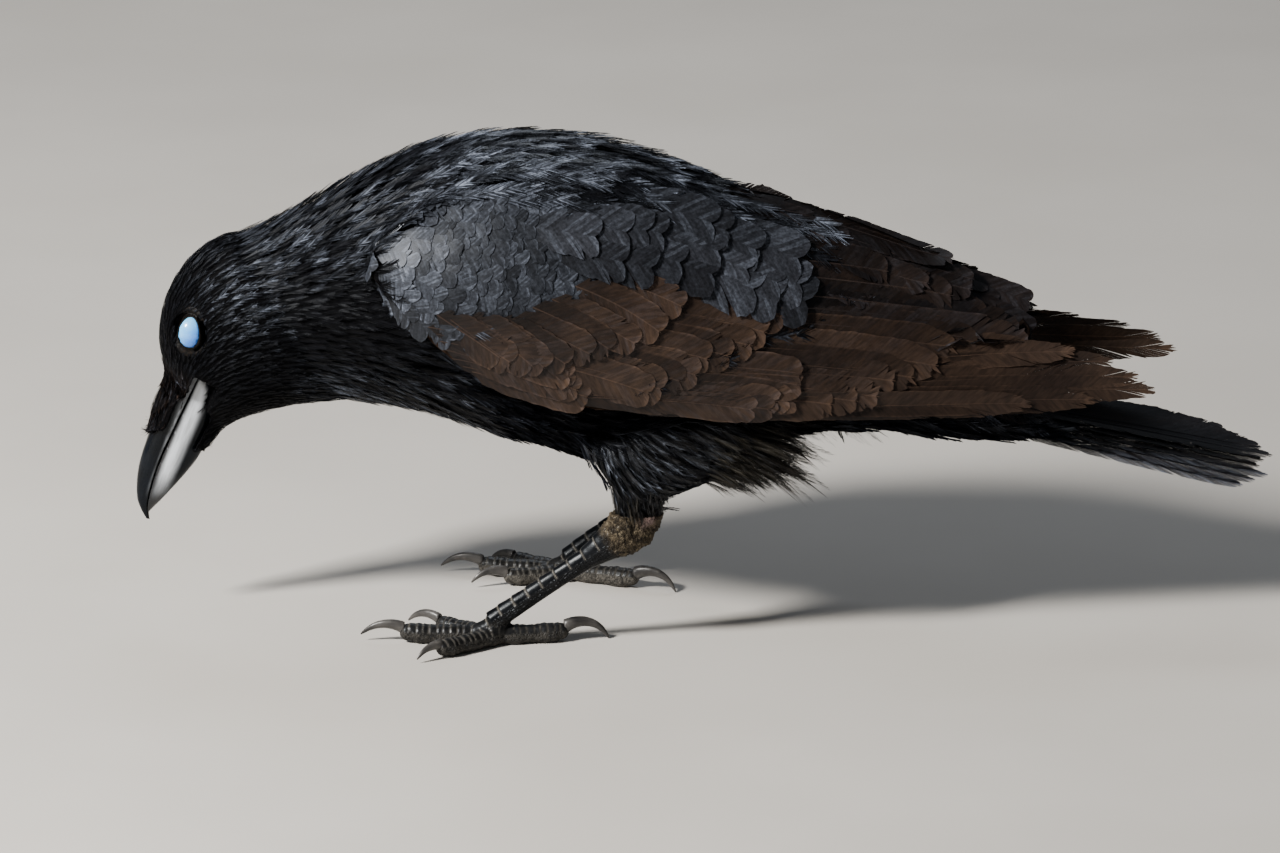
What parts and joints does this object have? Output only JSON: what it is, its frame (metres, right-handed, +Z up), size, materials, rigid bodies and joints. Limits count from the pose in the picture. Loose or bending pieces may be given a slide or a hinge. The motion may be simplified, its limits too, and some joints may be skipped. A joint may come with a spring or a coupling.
{
  "type": "crow, museum model",
  "caption": "Life-size black crow standing with its bill lowered to the ground, wings folded and tail level, as a still museum model.",
  "frame": {"origin": "centre of the bounding box at floor level, under the belly", "axes": "-X the way the bird faces, -Y its left side, +Z up"},
  "size_m": [0.4162, 0.119, 0.1834],
  "materials": {
    "plumage": "black feathers with a faint blue-violet gloss",
    "flight_plumage": "worn black-brown flight feathers with a low sheen",
    "horn": "polished black horn",
    "scales": "black scaly skin, dusty",
    "claws": "grey-black claw horn",
    "eyes": "wet pale blue inner eyelid over a dark eye"
  },
  "bodies": {
    "root": {"bill_lower": "horn", "bill_upper": "horn", "chin": "plumage", "claw_left_hind": "claws", "claw_left_inner": "claws", "claw_left_middle": "claws", "claw_left_outer": "claws", "claw_right_hind": "claws", "claw_right_inner": "claws", "claw_right_middle": "claws", "claw_right_outer": "claws", "eye_left": "eyes", "eye_right": "eyes", "head": "plumage", "nasal_bristles": "plumage", "neck": "plumage", "primaries_left": "flight_plumage", "primaries_right": "flight_plumage", "tail": "plumage", "tarsus_left": "scales", "tarsus_right": "scales", "thigh_left": "plumage", "thigh_right": "plumage", "toe_left_hind": "scales", "toe_left_inner": "scales", "toe_left_middle": "scales", "toe_left_outer": "scales", "toe_right_hind": "scales", "toe_right_inner": "scales", "toe_right_middle": "scales", "toe_right_outer": "scales", "trunk": "plumage", "wing_left": "flight_plumage", "wing_right": "flight_plumage"}
  },
  "joints": []
}
